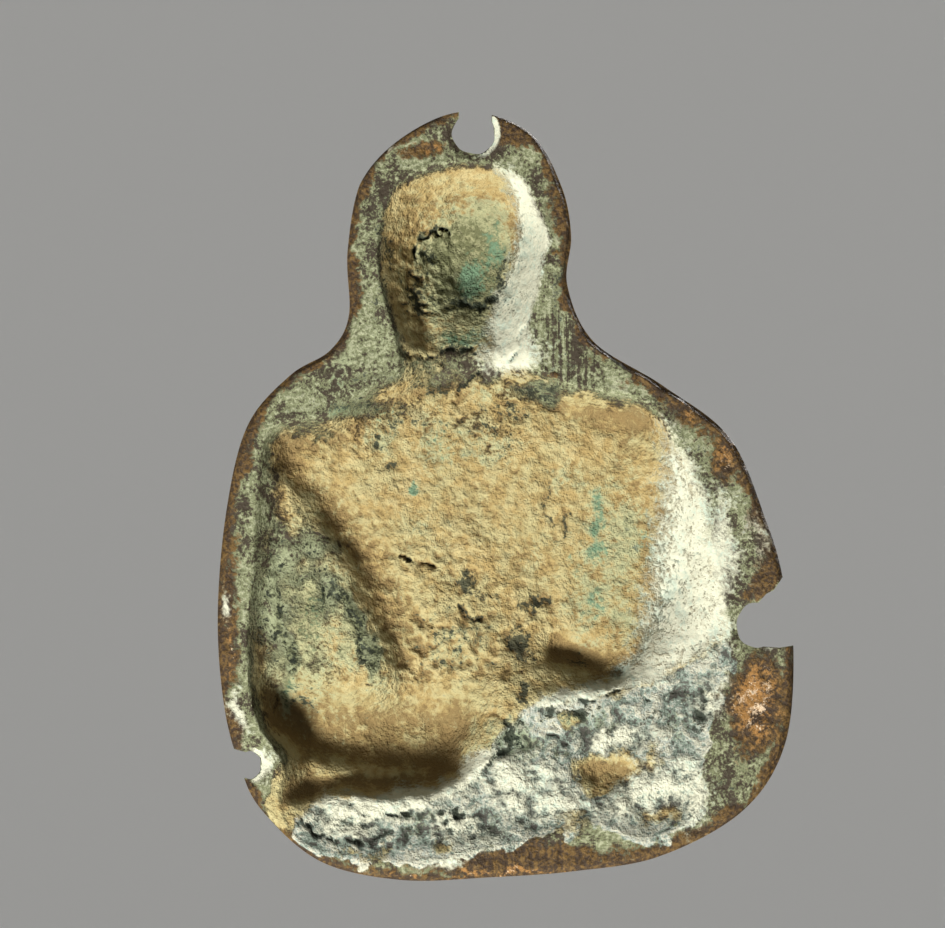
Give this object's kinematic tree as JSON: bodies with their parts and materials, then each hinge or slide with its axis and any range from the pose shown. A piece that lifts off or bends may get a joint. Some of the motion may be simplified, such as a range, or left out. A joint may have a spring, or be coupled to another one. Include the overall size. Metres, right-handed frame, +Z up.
{
  "type": "relief plaquette",
  "caption": "Thin bronze plaquette of a seated figure in relief, hollow at the back, with a flat rim and nail holes broken open at its edge.",
  "frame": {"origin": "on the flat back of the rim, at the middle of its lower edge", "axes": "+Z up through the head, +Y out of the hollow back, -Y out of the relief, X across the figure"},
  "size_m": [0.0461, 0.0078, 0.0616],
  "materials": {
    "patinated_bronze": "bronze under tan soil crust, pale scale and green corrosion, dull"
  },
  "bodies": {
    "root": {"plaquette": "patinated_bronze"}
  },
  "joints": []
}
